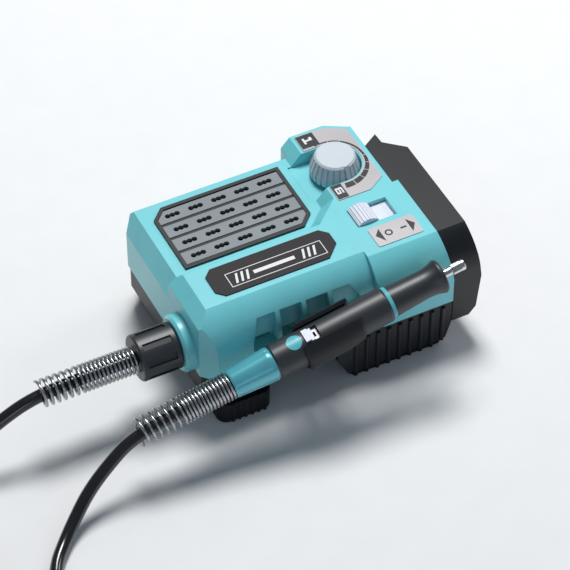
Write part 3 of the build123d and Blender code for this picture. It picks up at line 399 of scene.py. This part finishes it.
def arc_shapes():
    """The scale's blocks, with a gap between each and the next."""
    shapes = []
    for start, end in zip(ARC_ENDS, ARC_ENDS[1:]):
        high, low = start - ARC_GAP, end + ARC_GAP
        count = max(1, round((high - low) / ARC_STEP))
        angles = [high + (low - high) * k / count for k in range(count + 1)]
        inner = [round_knob(angle, ARC_INNER) for angle in angles]
        outer = [round_knob(angle, ARC_INNER + arc_width(angle)) for angle in angles]
        shapes.append(inner + list(reversed(outer)))
    return shapes


LABEL_TOP, BADGE_TOP = 0.5, 0.8
LOW_TAB, HIGH_TAB = bar(111.4, 122.9, 93.0, 104.4), bar(111.0, 118.0, 44.4, 56.5)
marks("dial_scale", arc_shapes() + [LOW_TAB, HIGH_TAB], LABEL_TOP, PRINT_BLACK)
# Plain numbers, read from the +X side: a 1 at the slow end and a 6 at the fast end
ONE = [bar(114.4, 120.4, 98.1, 99.5), bar(118.6, 120.4, 99.5, 101.0), bar(114.4, 115.8, 96.2, 98.1),
       bar(114.4, 115.8, 99.5, 101.4)]
SIX = [bar(112.3, 116.9, 52.3, 53.5), bar(112.3, 113.3, 48.3, 52.3), bar(114.2, 115.1, 48.3, 52.3),
       bar(115.9, 116.9, 48.3, 52.3), bar(113.3, 114.2, 48.3, 49.4)]
marks("dial_numbers", ONE + SIX, LABEL_TOP + PRINT_H, PRINT_WHITE)

OFF_ARROW = [(120.2, 11.9), (116.2, 7.2), (120.2, 1.0)]
ON_ARROW = [(138.4, 11.9), (138.4, 1.0), (142.4, 6.8)]
marks("switch_marks", [OFF_ARROW, ON_ARROW, bar(132.6, 136.6, 6.0, 7.2)] + ring_parts(124.6, 6.6, 1.5, 2.5),
      LABEL_TOP, PRINT_BLACK)

# A plain striped panel inside a thin border, in place of the maker's graphics
BORDER = [bar(22.0, 84.0, 7.6, 8.1), bar(22.0, 84.0, 18.6, 19.1), bar(21.5, 22.0, 7.6, 19.1),
          bar(84.0, 84.5, 7.6, 19.1)]
STRIPES = [bar(x, x + 1.5, 9.6, 17.1, 2.4) for x in (25.0, 28.6, 32.2, 69.0, 72.6, 76.2)]
marks("badge_print", BORDER + STRIPES + [bar(38.0, 65.0, 12.0, 14.7)], BADGE_TOP, PRINT_WHITE)


# ---- Guide plate in the spindle lock's slot -------------------------------------------------------------
LOCK_TURN = radians(10.0)
GUIDE_LOW, GUIDE_HIGH = 7.82, 8.05
GUIDE_START, GUIDE_BRIDGE, GUIDE_END = 49.0, 57.0, 58.8    # along the handpiece, open at the start
GUIDE_INNER, GUIDE_OUTER = 1.7, 4.2
GUIDE = [
    (GUIDE_START, GUIDE_INNER), (GUIDE_BRIDGE, GUIDE_INNER), (GUIDE_BRIDGE, -GUIDE_INNER),
    (GUIDE_START, -GUIDE_INNER), (GUIDE_START, -GUIDE_OUTER), (GUIDE_END, -GUIDE_OUTER),
    (GUIDE_END, GUIDE_OUTER), (GUIDE_START, GUIDE_OUTER),
]


def on_handle(along, aside, height):
    """A point given along the handpiece and across it, square to the lock's slot."""
    side = aside * cos(LOCK_TURN) - height * sin(LOCK_TURN)
    rise = aside * sin(LOCK_TURN) + height * cos(LOCK_TURN)
    return at(*GRIP_START) + (GRIP_AXIS * along + Vector((-sin(TILT) * rise, side, cos(TILT) * rise))) * MM


prisms("lock_guide_plate", [([on_handle(u, v, GUIDE_LOW) for u, v in GUIDE],
                             [on_handle(u, v, GUIDE_HIGH) for u, v in GUIDE])],
       MATERIALS["label_silver"])


# ---- Floor and light ------------------------------------------------------------------------------------
def make_floor():
    mesh = bmesh.new()
    reach = 6.0
    corners = [(-reach, -reach), (reach, -reach), (reach, reach), (-reach, reach)]
    mesh.faces.new([mesh.verts.new((x, y, 0)) for x, y in corners])
    data = bpy.data.meshes.new("floor")
    mesh.to_mesh(data)
    mesh.free()
    floor = bpy.data.objects.new("floor", data)
    bpy.context.scene.collection.objects.link(floor)
    paint(floor, surface("floor", (0.90, 0.90, 0.90), 0.9, depth=0.0, mottle=0.01, specular=0.1))


def area_light(name, place, size, power, colour=(1, 1, 1)):
    data = bpy.data.lights.new(name, "AREA")
    data.shape = "DISK"
    data.size, data.energy, data.color = size, power, colour
    light = bpy.data.objects.new(name, data)
    bpy.context.scene.collection.objects.link(light)
    light.location = place
    light.rotation_euler = Vector(place).to_track_quat("Z", "Y").to_euler()


make_floor()
area_light("key", (0.28, 0.62, 1.8), 0.7, 31)
area_light("front", (-0.5, -1.5, 0.5), 0.7, 2.2, (0.55, 0.72, 1.0))
area_light("rim", (1.2, 0.3, 0.9), 0.5, 3, (0.9, 0.95, 1.0))
world = bpy.data.worlds.new("studio")
world.use_nodes = True
background = world.node_tree.nodes["Background"]
background.inputs["Color"].default_value = (0.80, 0.90, 1.0, 1)
background.inputs["Strength"].default_value = 0.17
bpy.context.scene.world = world
bpy.context.scene.view_settings.view_transform = "Standard"
